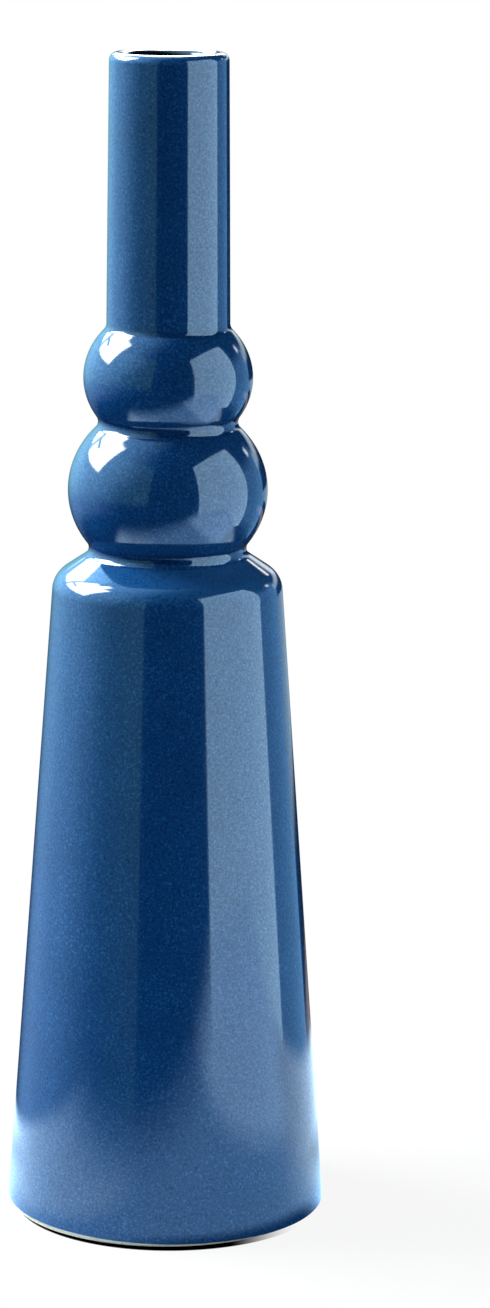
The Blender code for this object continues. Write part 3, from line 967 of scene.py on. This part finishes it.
# %% The table
def make_table():
    (left, near), (right, far) = TABLE_SPAN
    corners = [(left, near, 0.0), (right, near, 0.0), (right, far, 0.0), (left, far, 0.0)]
    mesh = bpy.data.meshes.new("table_top")
    mesh.from_pydata(corners, [], [(0, 1, 2, 3)])
    mesh.transform(Matrix.Rotation(TABLE_TURN, 4, "Z"))
    mesh.materials.append(table_finish())
    table = bpy.data.objects.new("table_top", mesh)
    bpy.context.scene.collection.objects.link(table)
    print(f"table {right - left:.2f} by {far - near:.2f} m")


make_table()

# %% [markdown]
# ## The lamps
#
# The vase stands by a window, which is high on its left, and a long pale panel on its right throws some of
# that light back. The panel draws the bright stripe down the neck and the cone, and its edges are what shows
# how straight they are, so it is a real panel in a real place. It shows in first mirror images only, or the
# bulbs and the shoulder would pass it on to each other as bright rings. The other lamps only give light: the
# window, the wall that it lights, and the fill from the right. How those three look in the glaze is painted
# in the room further down, where their shapes are easier to set.

# %% Directions and mirror images
DEEPEST_IMAGE = 2.5


def heading(azimuth, elevation):
    """A direction: azimuth from the camera's side towards the right, elevation upwards, in degrees."""
    turn, rise = math.radians(azimuth), math.radians(elevation)
    return Vector((math.sin(turn) * math.cos(rise), -math.cos(turn) * math.cos(rise), math.sin(rise)))


def first_image(tree):
    """1 for rays that met one mirror at most, 0 for images of images; the light counts as a step too."""
    depth = add_node(tree, "ShaderNodeLightPath", {}).outputs["Ray Depth"]
    return calc(tree, "LESS_THAN", depth, DEEPEST_IMAGE)


def show_once(lamp):
    """Lets a lamp show in the first mirror image only."""
    lamp.use_nodes = True
    tree = lamp.node_tree
    tree.nodes.clear()
    emission = add_node(tree, "ShaderNodeEmission", {"Strength": first_image(tree)})
    add_node(tree, "ShaderNodeOutputLight", {"Surface": emission.outputs[0]})


# %% Helpers for lamps
def lamp_panel(name, place, faces, size, brightness, colour, shows):
    """A rectangular lamp that faces along a direction and shows as a reflection or gives light."""
    lamp = bpy.data.lights.new(name, "AREA")
    lamp.shape = "RECTANGLE"
    lamp.size, lamp.size_y = size
    lamp.energy = brightness * math.pi * size[0] * size[1]
    lamp.color = colour
    panel = bpy.data.objects.new(name, lamp)
    turn = faces.to_track_quat("-Z", "Y").to_matrix().to_4x4()
    panel.matrix_world = Matrix.Translation(place) @ turn
    panel.visible_camera = False
    panel.visible_diffuse = shows == "light"
    panel.visible_glossy = shows == "reflection"
    if shows == "reflection":
        show_once(lamp)
    bpy.context.scene.collection.objects.link(panel)
    print(f"{name}: {size[0]:.2f} by {size[1]:.2f} m, brightness {brightness}, as {shows}")


def upright_panel(name, azimuth, distance, width, heights, brightness, colour, shows):
    """A lamp that stands upright, squarely facing the vase's axis."""
    away = heading(azimuth, 0.0)
    bottom, top = heights
    place = away * distance + Vector((0.0, 0.0, (bottom + top) / 2))
    lamp_panel(name, place, -away, (width, top - bottom), brightness, colour, shows)


# %% Lamps
WHITE = (1.0, 1.0, 1.0)
WALL_BLUE = (0.36, 0.81, 1.0)
PANEL_BLUE = (0.46, 0.75, 1.0)
WINDOW_AIM = Vector((0.0, 0.0, 0.15))
WINDOW_DISTANCE = 1.3
WINDOW_SIZE = (0.68, 0.84)
LEFT_WALL = {"azimuth": -86.0, "distance": 1.6, "width": 6.4, "heights": (-0.6, 1.9)}
RIGHT_FILL = {"azimuth": 80.0, "distance": 1.0, "width": 1.1, "heights": (-0.1, 1.0)}
PALE_PANEL = {"azimuth": 69.5, "distance": 0.85, "width": 1.14, "heights": (-0.45, 1.05)}
window_way = heading(-106.0, 39.0)
window_place = WINDOW_AIM + window_way * WINDOW_DISTANCE
lamp_panel("window", window_place, -window_way, WINDOW_SIZE, brightness=18.0, colour=WHITE, shows="light")
upright_panel("left_wall", **LEFT_WALL, brightness=0.86, colour=WALL_BLUE, shows="light")
upright_panel("right_fill", **RIGHT_FILL, brightness=2.45, colour=WHITE, shows="light")
upright_panel("pale_panel", **PALE_PANEL, brightness=3.9, colour=PANEL_BLUE, shows="reflection")

# %% [markdown]
# ## The room
#
# What a glossy pot looks like is decided by what stands around it. The camera's side of the room is dark, so
# the middle of the vase stays deep blue. On the left a wall ends at an upright edge, and it is bright near
# the window. The window has several panes and a bar: they make the white flashes on the bulbs and on the
# shoulder. On the right, past the panel, a dimmer wall and a few streaks edge the form, and light from
# straight behind whitens the lip. Furniture and lamps would have to be built for all this. Painted on the sky
# by direction, it is a short list. Only mirror rays see it, in their first image. The camera sees white, and
# matt surfaces and images of images see a dim even room.

# %% Painting by direction
def beyond(tree, view, azimuth, soft, lean):
    """1 to the right of an upright line in the room, 0 to its left; lean slants the line."""
    slanted = calc(tree, "SUBTRACT", view[0], calc(tree, "MULTIPLY", view[1], lean))
    return fade(tree, slanted, azimuth - soft, azimuth + soft)


def above(tree, view, elevation, soft):
    """1 above a level line in the room, 0 below it."""
    return fade(tree, view[1], elevation - soft, elevation + soft)


def painted_pane(tree, view, azimuths, elevations, soft, leans=(0.0, 0.0)):
    """1 inside a four-sided pane of the room, 0 outside; all in degrees."""
    from_left = beyond(tree, view, azimuths[0], soft[0], leans[0])
    past_right = beyond(tree, view, azimuths[1], soft[0], leans[1])
    from_low = above(tree, view, elevations[0], soft[1])
    past_high = above(tree, view, elevations[1], soft[1])
    across = calc(tree, "SUBTRACT", from_left, past_right)
    return calc(tree, "MULTIPLY", across, calc(tree, "SUBTRACT", from_low, past_high))


# %% The panes of the room
ROOM_LIGHT = (0.043, 0.047, 0.050)
DARK_SIDE = (0.006, 0.010, 0.018)
WALL_GLOW = (0.87, 1.82, 2.68)
WALL_GLOW_WAY = heading(-115.0, 33.0)
GLOW_RANGE = (0.30, 1.0)
GLOW_FLOOR = (2.0, 28.0)
# Each pane: colour, azimuths, elevations, softness of its upright and level edges, leans of its sides if any
ROOM_PANES = {
    "left wall": ((0.17, 0.42, 0.36), (-178.0, -22.5), (-9.0, 42.0), (1.2, 6.0), (0.0, 0.1)),
    "low wall": ((0.33, 0.60, 1.00), (-150.0, -80.0), (-22.0, 14.0), (25.0, 7.0)),
    "window": ((16.0, 16.0, 16.0), (-121.5, -104.0), (18.0, 58.0), (0.8, 1.2)),
    "window, right": ((16.0, 16.0, 16.0), (-104.0, -100.4), (18.0, 51.0), (0.8, 2.0), (0.0, 0.3)),
    "window, upper left": ((15.0, 15.0, 15.0), (-134.0, -121.5), (30.5, 50.0), (0.8, 1.0)),
    "window, lower left": ((13.0, 13.0, 13.0), (-134.0, -121.5), (18.0, 27.0), (0.8, 1.0)),
    "window, top left": ((0.7, 1.7, 3.0), (-150.0, -134.0), (39.0, 57.0), (0.8, 3.0)),
    "window bar": ((1.0, 1.2, 1.6), (-140.0, -134.0), (18.0, 38.0), (0.8, 1.0)),
    "side pane": ((11.0, 11.5, 12.0), (-160.0, -140.0), (19.5, 38.0), (0.8, 1.0)),
    "right wall": ((0.23, 0.57, 1.02), (104.0, 141.0), (-29.0, 16.0), (1.5, 8.0)),
    "right wall, low": ((0.23, 0.57, 1.02), (141.0, 147.5), (-29.0, -12.2), (1.5, 0.6)),
    "wood beyond": ((0.32, 0.27, 0.24), (131.0, 168.0), (-18.0, -14.85), (3.0, 0.3)),
    "high streak": ((0.80, 1.00, 1.10), (138.0, 168.0), (4.0, 12.0), (4.0, 2.5)),
    "low streak": ((0.36, 0.56, 0.74), (141.0, 170.0), (-12.2, -8.0), (2.0, 0.6)),
    "far lamp": ((3.0, 3.2, 3.4), (128.5, 134.0), (16.5, 22.0), (1.0, 1.0)),
    "near lamp": ((3.2, 3.2, 3.2), (156.5, 161.0), (17.0, 20.0), (0.8, 0.8)),
    "haze behind": ((0.8, 0.9, 1.0), (163.0, 200.0), (2.0, 32.0), (5.0, 4.0)),
    "light behind, right": ((12.0, 12.0, 12.0), (169.0, 200.0), (12.0, 60.0), (2.0, 2.0)),
    "light behind, left": ((12.0, 12.0, 12.0), (-200.0, -164.0), (12.0, 60.0), (2.0, 2.0)),
}


def painted_room(tree):
    """The colour of the room in each direction, as the glaze sees it."""
    way = add_node(tree, "ShaderNodeTexCoord", {}).outputs["Generated"]
    parts = add_node(tree, "ShaderNodeSeparateXYZ", {0: way}).outputs
    towards_camera = calc(tree, "MULTIPLY", parts["Y"], -1.0)
    azimuth = calc(tree, "DEGREES", calc(tree, "ARCTAN2", parts["X"], towards_camera))
    view = (azimuth, calc(tree, "DEGREES", calc(tree, "ARCSINE", parts["Z"])))
    nearness = {0: way, 1: WALL_GLOW_WAY}
    nearness = add_node(tree, "ShaderNodeVectorMath", nearness, operation="DOT_PRODUCT").outputs["Value"]
    glow = calc(tree, "MULTIPLY", fade(tree, nearness, *GLOW_RANGE), above(tree, view, *GLOW_FLOOR))
    total = vector_calc(tree, "SCALE", WALL_GLOW, glow)
    total = vector_calc(tree, "ADD", total, DARK_SIDE)
    for colour, *pane in ROOM_PANES.values():
        mask = painted_pane(tree, view, *pane)
        total = vector_calc(tree, "ADD", total, vector_calc(tree, "SCALE", colour, mask))
    return total


# %% The room
def make_room():
    world = bpy.data.worlds.new("studio")
    world.use_nodes = True
    tree = world.node_tree
    tree.nodes.clear()
    ray = add_node(tree, "ShaderNodeLightPath", {}).outputs
    mirrored = calc(tree, "MULTIPLY", ray["Is Glossy Ray"], first_image(tree))
    room = mix_colours(tree, mirrored, (*ROOM_LIGHT, 1.0), painted_room(tree))
    seen = mix_colours(tree, ray["Is Camera Ray"], room, (*WHITE, 1.0))
    sky = add_node(tree, "ShaderNodeBackground", {"Color": seen, "Strength": 1.0})
    add_node(tree, "ShaderNodeOutputWorld", {"Surface": sky.outputs[0]})
    bpy.context.scene.world = world
    bpy.context.scene.view_settings.view_transform = "Standard"
    print(f"a room with {len(ROOM_PANES)} painted panes in {len(tree.nodes)} nodes")


make_room()
